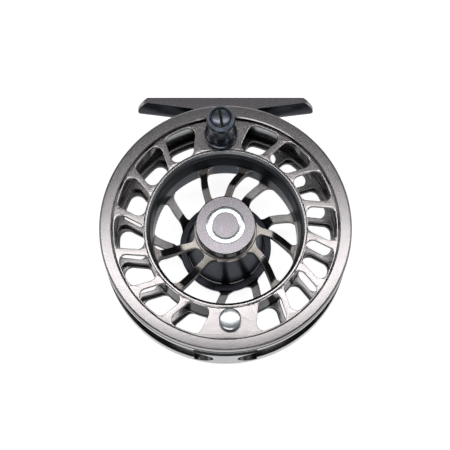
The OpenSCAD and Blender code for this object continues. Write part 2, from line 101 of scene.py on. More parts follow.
# Windows of each layer: inner and outer radius, half angles of a pad at those radii, corner radius,
# spoke width, and turn against the clock
FRONT_WINDOWS = ((28.2, 38.1), (16.2, 14.6), 2.4, 2.2, SPOOL_TURN)
REAR_WINDOWS = ((28.2, 38.1), (14.2, 13), 2.4, 1.6, SPOOL_TURN - 1.75)
PLATE_WINDOWS = ((27.6, 37.5), (14, 12.8), 2.8, 2.4, 1.75)
PLATE_EDGE = 0.2
ARBOR_FRONT_R = 26.3
ARBOR_REAR_R = 25.2
ARBOR_STEP_Z = 26.5
ARM_W = 2.4
ARM_FILLET = 2.2
ARM_PAIR_HALF_ANGLE = 16.5
ARM_SWIRL = 14.5
ARM_TURN = 3
ARM_EDGE = 0.28
ARM_STATIONS = 48
PLATE_ARM_W = 2.8
PLATE_ARM_SWIRL = 13
PLATE_ARM_TURN = 53
PLATE_ARM_PAIR_HALF_ANGLE = 18
COLLAR_BORE_R = 8.6
COLLAR_R = collar_high.x


# ---- Meshes ----

def fillet(corners, closed):
    """Rounds each (r, z, radius, material) corner. Gives (r, z) points, and the material of the step
    that follows each. A rounding has the material of the stretch after it."""
    points, steps = [], []
    count = len(corners)
    for i, (r, z, radius, material) in enumerate(corners):
        here = Vector((r, z))
        end = not closed and i in (0, count - 1)
        if end or radius == 0:
            points.append(here)
            steps.append(material)
            continue
        before = (Vector(corners[i - 1][:2]) - here).normalized()
        after = (Vector(corners[(i + 1) % count][:2]) - here).normalized()
        half = before.angle(after) / 2
        centre = here + (before + after).normalized() * radius / math.sin(half)
        first = here + before * radius / math.tan(half) - centre
        last = here + after * radius / math.tan(half) - centre
        turn = first.angle(last)
        for k in range(FILLET_STEPS + 1):
            t = k / FILLET_STEPS
            spoke = (first * math.sin((1 - t) * turn) + last * math.sin(t * turn)) / math.sin(turn)
            points.append(centre + spoke)
            steps.append(material)
    return points, steps


def turned(name, corners, centre=(0, 0), closed=True, segments=TURNED_STEPS, grooves=None):
    """A solid of revolution about an axis along Z. A corner's material is that of the stretch after it.
    A function for grooves gives the radius at an angle."""
    points, steps = fillet(corners, closed)
    bm = bmesh.new()
    rings = []
    for p in points:
        if p.x < TINY:
            rings.append([bm.verts.new(Vector((centre[0], centre[1], p.y)) * MM)])
            continue
        ring = []
        for k in range(segments):
            a = 2 * math.pi * k / segments
            r = grooves(p.x, a) if grooves else p.x
            spot = Vector((centre[0] + r * math.sin(a), centre[1] + r * math.cos(a), p.y))
            ring.append(bm.verts.new(spot * MM))
        rings.append(ring)
    pairs = len(rings) if closed else len(rings) - 1
    for i in range(pairs):
        low, high = rings[i], rings[(i + 1) % len(rings)]
        for k in range(segments):
            n = (k + 1) % segments
            around = [low[k % len(low)], low[n % len(low)], high[n % len(high)], high[k % len(high)]]
            unique = list(dict.fromkeys(around))
            if len(unique) > 2:
                bm.faces.new(unique).material_index = steps[i]
    return mesh_object(name, bm)


def mesh_object(name, bm):
    """A new object from a bmesh, with its faces turned outwards."""
    bmesh.ops.recalc_face_normals(bm, faces=bm.faces)
    mesh = bpy.data.meshes.new(name)
    bm.to_mesh(mesh)
    bm.free()
    piece = bpy.data.objects.new(name, mesh)
    bpy.context.scene.collection.objects.link(piece)
    return piece


def round_edges(piece, width, segments, angle, material):
    """Bevels every edge that turns more than an angle. The new faces have a material of their own."""
    rounding = piece.modifiers.new("edge rounding", "BEVEL")
    rounding.width = width * MM
    rounding.segments = segments
    rounding.limit_method = "ANGLE"
    rounding.angle_limit = math.radians(angle)
    rounding.material = material
    return rounding


def finish_piece(piece, materials, body, nodes, sharp=38, bevel=0):
    """Shades a piece, gives it its materials, hangs it on its body's empty and hides the CAD nodes it stands
    for. Edges that turn more than the sharp angle stay sharp, or are bevelled with the last material."""
    mesh = piece.data
    for i, material in enumerate(materials):
        if i < len(mesh.materials):
            mesh.materials[i] = material
        else:
            mesh.materials.append(material)
    mesh.shade_smooth()
    mesh.set_sharp_from_angle(angle=math.radians(sharp))
    if bevel:
        rounding = round_edges(piece, bevel, segments=2, angle=sharp, material=len(materials) - 1)
        rounding.harden_normals = True
    normals = piece.modifiers.new("flat faces stay flat", "WEIGHTED_NORMAL")
    normals.keep_sharp = True
    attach(piece, body)
    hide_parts(*nodes)


def at(angle, r):
    """The point at a clockwise angle and a radius."""
    a = math.radians(angle)
    return Vector((r * math.sin(a), r * math.cos(a)))


def arc(centre, start, end, steps):
    """Points from one spoke of a circle to another, the short way round."""
    turn = start.angle(end)
    size = start.length
    if turn < TINY:
        return [centre + start]
    out = []
    for k in range(steps + 1):
        t = k / steps
        out.append(centre + (start * math.sin((1 - t) * turn) + end * math.sin(t * turn)) / math.sin(turn))
    return [centre + (p - centre).normalized() * size for p in out]


def circle_points(r, centre=(0, 0), steps=TURNED_STEPS):
    """Points round a circle, clockwise."""
    return [Vector(centre) + at(360 * k / steps, r) for k in range(steps)]


def window_edges(k, end, layer):
    """Clockwise angles of the two sides of window k at its inner or outer end."""
    radii, pads, _, spoke_w, _ = layer
    first = 90 - SPOKE_PITCH * (SPOKES_PER_SIDE - 1) / 2 + SPOKE_PITCH * (k - 1)
    half_spoke = math.degrees(math.asin(spoke_w / 2 / radii[end]))
    pad = pads[end]
    low = pad if k == 0 else first + half_spoke
    high = 180 - pad if k == SPOKES_PER_SIDE else first + SPOKE_PITCH - half_spoke
    return low + SPOKE_LEAN[end], high + SPOKE_LEAN[end]


def on_line_at_radius(point, direction, radius):
    """Where a line from a point crosses a circle about the origin, on its outward side."""
    along = point.dot(direction)
    return point + direction * (-along + math.sqrt(along ** 2 - point.length_squared + radius ** 2))


def window_outline(k, side, layer):
    """One rounded window: two straight leaning sides between an inner and an outer arc."""
    corner_steps, rim_steps = 8, 10
    radii, _, corner_r, _, turn = layer
    origin = Vector((0, 0))
    inner = [a + side - turn for a in window_edges(k, 0, layer)]
    outer = [a + side - turn for a in window_edges(k, 1, layer)]
    centres, side_normals = [], []
    for which, inward in ((0, 1), (1, -1)):
        low, high = at(inner[which], radii[0]), at(outer[which], radii[1])
        direction = (high - low).normalized()
        normal = Vector((direction.y, -direction.x)) * inward
        start = low + normal * corner_r
        centres.append([on_line_at_radius(start, direction, radii[0] + corner_r),
                        on_line_at_radius(start, direction, radii[1] - corner_r)])
        side_normals.append(-normal)
    (low_in, low_out), (high_in, high_out) = centres
    left, right = (n * corner_r for n in side_normals)
    outer_rim = arc(origin, low_out.normalized() * radii[1], high_out.normalized() * radii[1], rim_steps)
    inner_rim = arc(origin, high_in.normalized() * radii[0], low_in.normalized() * radii[0], rim_steps)
    outline = arc(low_in, -low_in.normalized() * corner_r, left, corner_steps)
    outline += arc(low_out, left, low_out.normalized() * corner_r, corner_steps)
    outline += outer_rim[1:-1]
    outline += arc(high_out, high_out.normalized() * corner_r, right, corner_steps)
    outline += arc(high_in, right, -high_in.normalized() * corner_r, corner_steps)
    outline += inner_rim[1:-1]
    return outline


def cut_plate(name, loops, z):
    """A flat plate from closed outlines, with rounded edges. Materials: front face 0, its edges 1, and
    the rest 2."""
    flat, upright = 0.99, 0.05
    curve = bpy.data.curves.new(name, "CURVE")
    curve.dimensions = "2D"
    curve.fill_mode = "BOTH"
    curve.extrude = ((z[1] - z[0]) / 2 - PLATE_EDGE) * MM
    curve.bevel_depth = PLATE_EDGE * MM
    curve.bevel_resolution = 2
    curve.offset = -PLATE_EDGE * MM
    for loop in loops:
        spline = curve.splines.new("POLY")
        spline.points.add(len(loop) - 1)
        for point, p in zip(spline.points, loop):
            point.co = (p.x * MM, p.y * MM, 0, 1)
        spline.use_cyclic_u = True
    holder = bpy.data.objects.new(name + "_outline", curve)
    bpy.context.scene.collection.objects.link(holder)
    graph = bpy.context.evaluated_depsgraph_get()
    mesh = bpy.data.meshes.new_from_object(holder.evaluated_get(graph))
    bpy.data.objects.remove(holder)
    bpy.data.curves.remove(curve)
    bm = bmesh.new()
    bm.from_mesh(mesh)
    bpy.data.meshes.remove(mesh)
    bmesh.ops.remove_doubles(bm, verts=bm.verts, dist=TINY)
    bmesh.ops.translate(bm, verts=bm.verts, vec=(0, 0, (z[0] + z[1]) / 2 * MM))
    # Faces are sorted by which way they point; in use, material 2 is painted shade on the walls and
    # underside.
    for face in bm.faces:
        up = face.normal.z
        face.material_index = 0 if up > flat else 2 if up < upright else 1
    return mesh_object(name, bm)


def windowed_plate(name, r_in, r_out, z, layer, holes=()):
    """A ring-shaped plate with a layer's windows, and round holes as (centre, radius)."""
    loops = [circle_points(r_out), circle_points(r_in)]
    for side in (0, 180):
        for k in range(SPOKES_PER_SIDE + 1):
            loops.append(window_outline(k, side, layer))
    for centre, r in holes:
        loops.append(circle_points(r, centre, SMALL_TURNED_STEPS // 2))
    return cut_plate(name, loops, z)


def between(profile, r):
    """Height at a radius on a broken line of (r, z) points."""
    for (r0, z0), (r1, z1) in zip(profile, profile[1:]):
        if r <= r1:
            return z0 + (z1 - z0) * max(0, (r - r0) / (r1 - r0))
    return profile[-1][1]


def smooth_height(profile, r):
    """The same line, softened over a short reach to each side."""
    reach, steps = 0.5, 4
    spots = [r + reach * (k / steps - 1) for k in range(2 * steps + 1)]
    return sum(between(profile, s) for s in spots) / len(spots)


def arm_solid(bm, outer_angle, swirl, width, r_range, top, bottom, sink):
    """One spiral arm with rounded edges, flared where it meets its rings. Each station follows a circle.
    Its ends sink into the rings. Materials: top and underside 0, rounded edges 1, sides 2."""
    side_faces = (3, 11)
    overrun, most_fillet = 1, 0.97
    r_in, r_out = r_range
    span = r_out - r_in + 2 * overrun
    rings = []
    for i in range(ARM_STATIONS + 1):
        r = r_in - sink + (r_out - r_in + 2 * sink) * i / ARM_STATIONS
        t = (r - r_in + overrun) / span
        angle = outer_angle - swirl * (1 - t)
        slope = math.radians(swirl) / span * r
        gap = max(0, min(r - r_in, r_out - r))
        inside = min(max(0, ARM_FILLET - gap), ARM_FILLET * most_fillet)
        flare = ARM_FILLET - math.sqrt(ARM_FILLET ** 2 - inside ** 2)
        half = width / 2 * math.hypot(1, slope) + flare
        z_top, z_bottom = smooth_height(top, r), smooth_height(bottom, r)
        ring = []
        for sx, sz in ((1, 1), (1, -1), (-1, -1), (-1, 1)):
            x0, z0 = sx * (half - ARM_EDGE), (z_top - ARM_EDGE if sz > 0 else z_bottom + ARM_EDGE)
            for a in ((90, 60, 30, 0) if sx * sz > 0 else (0, 30, 60, 90)):
                x = x0 + sx * ARM_EDGE * math.cos(math.radians(a))
                z = z0 + sz * ARM_EDGE * math.sin(math.radians(a))
                spot = at(angle + math.degrees(x / r), r)
                ring.append(bm.verts.new(Vector((spot.x, spot.y, z)) * MM))
        rings.append(ring)
    count = len(rings[0])
    for low, high in zip(rings, rings[1:]):
        for k in range(count):
            n = (k + 1) % count
            face = bm.faces.new((low[k], low[n], high[n], high[k]))
            face.material_index = 2 if k in side_faces else 1 if k % 4 != 3 else 0
    bm.faces.new(rings[0])
    bm.faces.new(rings[-1])


def arm_set(name, pair_half_angle, swirl, turn, width, r_range, top, bottom, sink):
    """Three pairs of arms. The turn is clockwise."""
    bm = bmesh.new()
    for third in (0, 120, 240):
        for side in (-1, 1):
            angle = third + side * pair_half_angle + turn
            arm_solid(bm, angle, swirl, width, r_range, top, bottom, sink)
    return mesh_object(name, bm)


def wall_stretch(bm, angle, half_w, outer_r, rows=28, columns=36):
    """A pillar of the side wall, waisted between two slots with round ends. The slots' walls have
    material 1."""
    slot_r = (RING_REAR_Z - REAR_RING_TOP_Z) / 2
    mid = (RING_REAR_Z + REAR_RING_TOP_Z) / 2
    end_half_w = half_w + slot_r
    a = math.radians(angle)
    grids = []
    for r in (outer_r, WALL_INNER_R):
        grid = []
        for i in range(rows + 1):
            z = mid - slot_r * math.cos(math.pi * i / rows)
            half = end_half_w - math.sqrt(max(0, slot_r ** 2 - (z - mid) ** 2))
            row = []
            for j in range(columns + 1):
                x = half * (2 * j / columns - 1)
                y = math.sqrt(r ** 2 - x ** 2)
                spot = (x * math.cos(a) + y * math.sin(a), y * math.cos(a) - x * math.sin(a), z)
                row.append(bm.verts.new(Vector(spot) * MM))
            grid.append(row)
        grids.append(grid)
    outer, inner = grids
    for i in range(rows):
        for j in range(columns):
            for grid in grids:
                bm.faces.new((grid[i][j], grid[i][j + 1], grid[i + 1][j + 1], grid[i + 1][j]))
        for j in (0, columns):
            bm.faces.new((outer[i][j], outer[i + 1][j], inner[i + 1][j], inner[i][j])).material_index = 1
    for i in (0, rows):
        for j in range(columns):
            bm.faces.new((outer[i][j], outer[i][j + 1], inner[i][j + 1], inner[i][j]))


def dome(r, base_z, height, roundness, steps):
    """Corners of a crowned top, from its edge to the axis. A lower roundness gives a squarer edge."""
    corners = []
    for k in range(steps + 1):
        a = math.pi / 2 * k / steps
        here_r = r * math.cos(a) ** roundness if k < steps else 0
        corners.append((here_r, base_z + height * math.sin(a), 0, 0))
    return corners


def cut_out(piece, cutter):
    """Cuts one mesh out of another, for good. The cut faces keep the cutter's material numbers, 0 or 1."""
    for mesh in (piece.data, cutter.data):
        while len(mesh.materials) < 2:
            mesh.materials.append(None)
    modifier = piece.modifiers.new("cut", "BOOLEAN")
    modifier.operation = "DIFFERENCE"
    modifier.solver = "EXACT"
    modifier.object = cutter
    graph = bpy.context.evaluated_depsgraph_get()
    mesh = bpy.data.meshes.new_from_object(piece.evaluated_get(graph))
    piece.modifiers.remove(modifier)
    piece.data = mesh
    bpy.data.objects.remove(cutter)


def block(low, high, material):
    """A box-shaped cutter, in millimetres."""
    bm = bmesh.new()
    bmesh.ops.create_cube(bm, size=1)
    for face in bm.faces:
        face.material_index = material
    for v in bm.verts:
        v.co = Vector(((low[i] + high[i]) / 2 + v.co[i] * (high[i] - low[i]) for i in range(3))) * MM
    return mesh_object("cutter", bm)


# ---- Materials ----

class Nodes:
    """A material under construction, with short ways to add and join nodes."""

    def __init__(self, name):
        self.material = bpy.data.materials.new(name)
        self.material.use_nodes = True
        self.tree = self.material.node_tree
        self.shader = self.tree.nodes["Principled BSDF"]
        coords = self.tree.nodes.new("ShaderNodeTexCoord")
        self.place = coords.outputs["Object"]
        self.normal = coords.outputs["Normal"]

    def add(self, kind, inputs=None, **settings):
        """Adds a shader node, with its inputs by name or number."""
        node = self.tree.nodes.new("ShaderNode" + kind)
        for key, value in settings.items():
            setattr(node, key, value)
        for key, value in (inputs or {}).items():
            self.put(node.inputs[key], value)
        return node

    def put(self, socket, value):
        """Links another node's output, or sets a constant."""
        if isinstance(value, bpy.types.NodeSocket):
            self.tree.links.new(value, socket)
        else:
            socket.default_value = value

    def math(self, operation, *values):
        node = self.add("Math", operation=operation)
        for socket, value in zip(node.inputs, values):
            self.put(socket, value)
        return node.outputs[0]

    def noise(self, size_mm, detail=2.0, stretch=(1, 1, 1), rough=0.5):
        """Noise whose features are about size_mm across."""
        scaled = self.add("VectorMath", operation="MULTIPLY",
                          inputs={0: self.place, 1: tuple(s / (size_mm * MM) for s in stretch)})
        node = self.add("TexNoise", inputs={"Vector": scaled.outputs[0], "Scale": 1.0,
                                            "Detail": detail, "Roughness": rough})
        return node.outputs["Fac"]

    def ramp(self, value, low, high, out_low=0.0, out_high=1.0):
        """Takes low to high onto out_low to out_high, and stays at their ends beyond."""
        node = self.add("MapRange", inputs={"Value": value, "From Min": low, "From Max": high,
                                            "To Min": out_low, "To Max": out_high})
        node.clamp = True
        return node.outputs["Result"]

    def mix(self, factor, a, b):
        node = self.add("Mix", data_type="RGBA")
        self.put(node.inputs["Factor"], factor)
        for key, value in (("A", a), ("B", b)):
            sockets = [s for s in node.inputs if s.name == key and s.type == "RGBA"]
            self.put(sockets[0], value)
        return [s for s in node.outputs if s.type == "RGBA"][0]

    def radius(self, centre):
        """Distance from an axis along Z."""
        moved = self.add("VectorMath", operation="SUBTRACT",
                         inputs={0: self.place, 1: (centre[0] * MM, centre[1] * MM, 0)})
        flat = self.add("VectorMath", operation="MULTIPLY", inputs={0: moved.outputs[0], 1: (1, 1, 0)})
        return self.add("VectorMath", operation="LENGTH", inputs={0: flat.outputs[0]}).outputs["Value"]

    def height(self):
        return self.add("SeparateXYZ", inputs={0: self.place}).outputs["Z"]

    def lines(self, value, pitch_mm):
        """Fine even lines along a length such as the radius, from 0 to 1."""
        turns = self.math("MULTIPLY", value, 2 * math.pi / (pitch_mm * MM))
        return self.math("MULTIPLY_ADD", self.math("SINE", turns), 0.5, 0.5)

    def bump(self, height, depth_mm):
        inputs = {"Height": height, "Distance": depth_mm * MM, "Strength": 1.0}
        return self.add("Bump", inputs=inputs).outputs["Normal"]

    def finish(self, **sockets):
        """Sets the shader's sockets, whose names have underscores for spaces, and gives the material."""
        for key, value in sockets.items():
            self.put(self.shader.inputs[key.replace("_", " ")], value)
        return self.material


def rgb(r, g, b):
    return (r, g, b, 1.0)


def shade(colour, factor):
    """A colour made darker or lighter."""
    return rgb(*(min(1.0, c * factor) for c in colour[:3]))


def blasted(name, colour, roughness=0.22, grain_mm=0.2, depth_mm=0.0011, spread=0.07, wear=0.12, grazing=0.7):
    """Bead-blasted and anodised metal: fine grain, faint blotches and small rubbed spots."""
    blotch_mm, rubbed_mm = 9.0, 2.6
    n = Nodes(name)
    grain = n.noise(grain_mm, detail=3.0)
    blotches = n.noise(blotch_mm, detail=4.0)
    rubbed = n.ramp(n.noise(rubbed_mm, detail=6.0, rough=0.65), 0.60, 0.74)
    base = n.mix(n.ramp(blotches, 0.3, 0.7), shade(colour, 1 - spread), shade(colour, 1 + spread))
    fleck = n.mix(n.ramp(grain, 0.35, 0.72), shade(colour, 0.64), shade(colour, 1.4))
    body = n.mix(0.38, base, fleck)
    worn = n.mix(n.math("MULTIPLY", rubbed, wear), body, shade(colour, 1.9))
    rough = n.math("ADD", n.ramp(grain, 0.2, 0.8, roughness - 0.06, roughness + 0.08),
                   n.math("MULTIPLY", rubbed, -0.05))
    return n.finish(Base_Color=worn, Metallic=1.0, Roughness=rough, Normal=n.bump(grain, depth_mm),
                    Specular_Tint=rgb(grazing, grazing, grazing))


def foot_finish(name, front, under):
    """A blasted finish, with painted shade on the foot's faces that look towards the reel: a dark colour with
    faint streaks, picked by which way each face points.
    """
    grain_mm, grain_depth_mm, streak_mm, grazing = 0.2, 0.001, 2.4, 0.5
    fully_inward_y, not_inward_y = -0.75, -0.45
    n = Nodes(name)
    grain = n.noise(grain_mm, detail=3.0)
    streaks = n.noise(streak_mm, detail=4.0, stretch=(0.25, 1, 1))
    normal_y = n.add("SeparateXYZ", inputs={0: n.normal}).outputs["Y"]
    inward = n.ramp(normal_y, fully_inward_y, not_inward_y, 1.0, 0.0)
    matt = n.mix(n.ramp(grain, 0.3, 0.72), shade(front, 0.9), shade(front, 1.1))
    # Painted shade for faces turned towards the reel: the dark under colour, with faint streaks.
    inward_painted_shade = n.mix(n.ramp(streaks, 0.35, 0.7), shade(under, 0.8), shade(under, 1.5))
    rough = n.ramp(grain, 0.2, 0.8, 0.235, 0.275)
    return n.finish(Base_Color=n.mix(inward, matt, inward_painted_shade), Metallic=1.0, Roughness=rough,
                    Normal=n.bump(grain, grain_depth_mm), Specular_Tint=rgb(grazing, grazing, grazing))


def machined(name, colour, roughness=0.2, pitch_mm=0.16, depth_mm=0.002, streak=(1, 1, 1), centre=(0, 0),
             by_height=False, spread=0.16, haze=0.06, grazing=0.8):
    """Turned or milled metal: fine tool lines, soft streaks along them and faint smudges."""
    wobble_mm, streak_mm, smudge_mm = 14.0, 1.1, 5.5
    wobble_pitches = 0.8
    n = Nodes(name)
    along = n.height() if by_height else n.radius(centre)
    wobble = n.noise(wobble_mm, detail=2.0)
    tool = n.lines(n.math("MULTIPLY_ADD", wobble, pitch_mm * MM * wobble_pitches, along), pitch_mm)
    streaks = n.noise(streak_mm, detail=5.0, stretch=streak, rough=0.6)
    smudge = n.noise(smudge_mm, detail=3.0)
    tone = n.mix(n.ramp(streaks, 0.3, 0.7), shade(colour, 1 - spread), shade(colour, 1 + spread))
    body = n.mix(n.math("MULTIPLY", tool, 0.22), tone, shade(colour, 0.7))
    rough = n.math("ADD", n.ramp(smudge, 0.3, 0.75, roughness - haze / 2, roughness + haze),
                   n.math("MULTIPLY", tool, 0.03))
    return n.finish(Base_Color=body, Metallic=1.0, Roughness=rough, Normal=n.bump(tool, depth_mm),
                    Specular_Tint=rgb(grazing, grazing, grazing))


def gloss_black(name, colour, roughness, grazing):
    """Gloss black anodised metal: dust, faint scuffs and shallow turning waves."""
    dust_mm, scuff_mm, wobble_mm, wobble_depth_mm = 0.9, 4.0, 11.0, 0.3
    wave_mm, wave_depth_mm = 0.7, 0.0015
    n = Nodes(name)
    dust = n.ramp(n.noise(dust_mm, detail=6.0, rough=0.7), 0.58, 0.8)
    scuff = n.noise(scuff_mm, detail=5.0, stretch=(1, 1, 3))
    waves = n.lines(n.math("MULTIPLY_ADD", n.noise(wobble_mm), wobble_depth_mm * MM, n.height()), wave_mm)
    tone = n.mix(n.ramp(scuff, 0.3, 0.7), shade(colour, 0.8), shade(colour, 1.25))
    body = n.mix(n.math("MULTIPLY", dust, 0.10), tone, shade(colour, 3.0))
    rough = n.math("ADD", n.ramp(scuff, 0.3, 0.7, roughness - 0.03, roughness + 0.05),
                   n.math("MULTIPLY", dust, 0.12))
    return n.finish(Base_Color=body, Metallic=1.0, Roughness=rough, Normal=n.bump(waves, wave_depth_mm),
                    Specular_Tint=rgb(grazing, grazing, grazing))


def polished(name, colour, roughness):
    """Bright polished metal with fingerprints and hairline scratches."""
    smudge_mm, scratch_mm, scratch_depth_mm = 2.2, 0.35, 0.0012
    n = Nodes(name)
    smudge = n.noise(smudge_mm, detail=5.0)
    scratches = n.noise(scratch_mm, detail=3.0, stretch=(0.12, 1, 1))
    body = n.mix(n.ramp(smudge, 0.3, 0.75), shade(colour, 0.93), shade(colour, 1.04))
    rough = n.ramp(smudge, 0.3, 0.75, roughness, roughness + 0.10)
    return n.finish(Base_Color=body, Metallic=1.0, Roughness=rough,
                    Normal=n.bump(scratches, scratch_depth_mm))


def moulded(name, colour, roughness):
    """Plastic, rubber or composite with a fine moulded texture."""
    grain_mm, grain_depth_mm = 0.3, 0.01
    n = Nodes(name)
    grain = n.noise(grain_mm, detail=4.0)
    body = n.mix(n.ramp(grain, 0.3, 0.7), shade(colour, 0.82), shade(colour, 1.18))
    rough = n.ramp(grain, 0.3, 0.7, roughness - 0.06, roughness + 0.08)
    return n.finish(Base_Color=body, Metallic=0.0, Roughness=rough, Normal=n.bump(grain, grain_depth_mm))


frame_metal = blasted("frame_gunmetal", rgb(0.37, 0.352, 0.355))
spool_metal = blasted("spool_gunmetal", rgb(0.40, 0.378, 0.378))
frame_side = machined("frame_side", rgb(0.38, 0.40, 0.41), roughness=0.15, by_height=True, pitch_mm=0.25,
                      spread=0.06, grazing=0.75)
# Painted shade: a darker copy of the gunmetal for the rear flange, rear plate and hub, which lie behind the
# front layers.
rear_metal_painted_shade = blasted("rear_gunmetal_painted_shade", rgb(0.31, 0.30, 0.30), roughness=0.26, depth_mm=0.0005)
# Painted highlight: a lighter colour on rounded edges and chamfers, where they catch the light.
edge_painted_highlight = machined("edge_painted_highlight", rgb(0.62, 0.59, 0.58), roughness=0.24, by_height=True, spread=0.05)
# Painted shade: a darker copy of the edge colour, for the rear layers' edges.
rear_edge_painted_shade = machined("rear_edge_painted_shade", rgb(0.22, 0.21, 0.21), roughness=0.26, by_height=True, spread=0.08)
# Painted highlight, softer: a lighter colour on the rear arms' rounded edges.
edge_soft_painted_highlight = machined("edge_soft_painted_highlight", rgb(0.40, 0.375, 0.37), roughness=0.28, by_height=True, spread=0.08)
# Painted shade: a near-black copy of the metal on window walls, plate undersides, the rings' inner walls,
# grooves and backs, the side wall's slots, the housing's step and the cap's sides, where shade falls.
wall_painted_shade = machined("window_walls_painted_shade", rgb(0.12, 0.115, 0.118), roughness=0.15, by_height=True, pitch_mm=0.3,
                     grazing=0.5)
# Painted shade: the arbor's inside is darkened in bands, and its outside, seen between the layers, is nearly
# black.
arbor_gloss = machined("arbor_gloss", rgb(0.06, 0.068, 0.08), roughness=0.3, by_height=True, pitch_mm=0.35,
                       grazing=0.42)
arbor_front_painted_shade = machined("arbor_front_wall_painted_shade", rgb(0.21, 0.22, 0.25), roughness=0.45, by_height=True,
                       pitch_mm=0.35, grazing=0.5)
arbor_rear_painted_shade = machined("arbor_rear_wall_painted_shade", rgb(0.075, 0.085, 0.105), roughness=0.2, by_height=True,
                      pitch_mm=0.35, grazing=0.45)
arbor_outside_painted_shade = machined("arbor_outside_painted_shade", rgb(0.028, 0.031, 0.042), roughness=0.14, by_height=True,
                         pitch_mm=0.4, grazing=0.4)
champagne = machined("arms_champagne", rgb(0.43, 0.398, 0.372), roughness=0.3, streak=(1, 1, 0.3),
                     pitch_mm=0.5)
# Painted shade: the arms' sides are darker than their tops.
arm_sides_painted_shade = machined("arm_sides_painted_shade", rgb(0.12, 0.11, 0.105), roughness=0.3, by_height=True, pitch_mm=0.4,
                     grazing=0.45)
rear_arm_top = machined("rear_arm_top", rgb(0.36, 0.35, 0.345), roughness=0.4, pitch_mm=0.6, grazing=0.8)
housing_black = gloss_black("housing_black", rgb(0.07, 0.075, 0.09), roughness=0.3, grazing=0.5)
brim_black = gloss_black("brim_black", rgb(0.022, 0.024, 0.03), roughness=0.26, grazing=0.45)
handle_black = gloss_black("handle_black", rgb(0.10, 0.115, 0.14), roughness=0.26, grazing=0.55)
screw_black = machined("screw_black", rgb(0.18, 0.195, 0.235), roughness=0.26, centre=HANDLE_AT, pitch_mm=0.3,
                       grazing=0.45)
# Painted shade: the screw slot's walls and floor are near-black.
slot_painted_shade = moulded("slot_painted_shade", rgb(0.008, 0.008, 0.009), roughness=0.6)
knob_metal = blasted("knob_dark", rgb(0.07, 0.07, 0.074), roughness=0.3, grazing=0.45)
cap_satin = blasted("cap_satin", rgb(0.305, 0.285, 0.31), roughness=0.26, depth_mm=0.002, grain_mm=0.16,
                    spread=0.05)
ring_polished = machined("cap_ring", rgb(0.80, 0.85, 0.87), roughness=0.10, pitch_mm=0.12, spread=0.05)
weight_polished = polished("polished_steel", rgb(0.84, 0.88, 0.91), roughness=0.24)
# The second colour is painted shade for the foot's faces that look towards the reel.
foot_metal = foot_finish("foot_dark", rgb(0.285, 0.27, 0.28), rgb(0.045, 0.046, 0.054))
steel = machined("steel", rgb(0.56, 0.56, 0.58), roughness=0.22)
spring_steel = machined("spring_steel", rgb(0.40, 0.42, 0.45), roughness=0.3)
brass = machined("brass", rgb(0.62, 0.46, 0.2), roughness=0.22)
carbon = moulded("carbon", rgb(0.02, 0.02, 0.022), roughness=0.45)
acetal = moulded("acetal", rgb(0.66, 0.64, 0.58), roughness=0.4)
washer_black = moulded("washer_black", rgb(0.02, 0.02, 0.022), roughness=0.4)
rubber = moulded("rubber", rgb(0.015, 0.015, 0.015), roughness=0.6)
index_white = moulded("index_white", rgb(0.72, 0.72, 0.70), roughness=0.5)


# ---- Frame ----

def front_ring():
    """A ring with a painted highlight on a fine edge inside, and a groove round its outside. Its inside wall,
    groove and back carry painted shade.
    """
    groove_top, groove_low, groove_in = FACE_Z - 1.6, FACE_Z - 3.4, FRAME_R - 0.7
    chamfer = 0.35
    corners = [
        (RING_INNER_R, RING_REAR_Z, 0.15, 2), (RING_INNER_R, FACE_Z - chamfer, 0.05, 1),
        (RING_INNER_R + chamfer, FACE_Z, 0.08, 0), (FRAME_R, FACE_Z, 0.85, 0),
        (FRAME_R, groove_top, 0.12, 2), (groove_in, groove_top - 0.3, 0.1, 2),
        (groove_in, groove_low + 0.3, 0.1, 2), (FRAME_R, groove_low, 0.12, 3),
        (FRAME_R, RING_REAR_Z, 0.3, 2),
    ]
    piece = turned("front_ring", corners)
    finish_piece(piece, [frame_metal, edge_painted_highlight, wall_painted_shade, frame_side], "frame",
                 ["frame_front_ring"])


def rear_ring():
    """A ring with a wide rounding at its rear outer edge. Its inside wall and front face carry painted shade.
    """
    corners = [
        (WALL_INNER_R, REAR_RING_TOP_Z, 0.15, 2), (WALL_INNER_R, REAR_Z, 0.15, 0),
        (FRAME_R, REAR_Z, 1.35, 1), (FRAME_R, REAR_RING_TOP_Z, 0.2, 2),
    ]
    piece = turned("rear_ring", corners)
    finish_piece(piece, [frame_metal, frame_side, wall_painted_shade], "frame", ["frame_rear_ring"])


def rear_plate():
    into_ring = 0.05
    piece = windowed_plate("rear_plate", PLATE_BAND_R, WALL_INNER_R + into_ring, PLATE_Z, PLATE_WINDOWS)
    finish_piece(piece, [rear_metal_painted_shade, rear_edge_painted_shade, wall_painted_shade], "frame", ["frame_rear_plate"])


def side_walls():
    """The pillar under the foot, the palm pillar across from it, and one on each side."""
    foot_half_w, palm_half_w, side_half_w = 24.5, 4.1, 3.6
    palm_proud, edge = 0.6, 0.25
    # The slots' walls carry painted shade, and the bevels a painted highlight.
    materials = [frame_side, wall_painted_shade, edge_painted_highlight]
    bm = bmesh.new()
    wall_stretch(bm, 0, foot_half_w, FRAME_R, columns=72)
    piece = mesh_object("foot_pillar_wall", bm)
    finish_piece(piece, materials, "frame", ["foot_pillar"], bevel=edge)
    bm = bmesh.new()
    wall_stretch(bm, 180, palm_half_w, FRAME_R + palm_proud)
    for angle in (90, 270):
        wall_stretch(bm, angle, side_half_w, FRAME_R)
    piece = mesh_object("side_pillars", bm)
    finish_piece(piece, materials, "frame", ["frame_pillars"], bevel=edge)


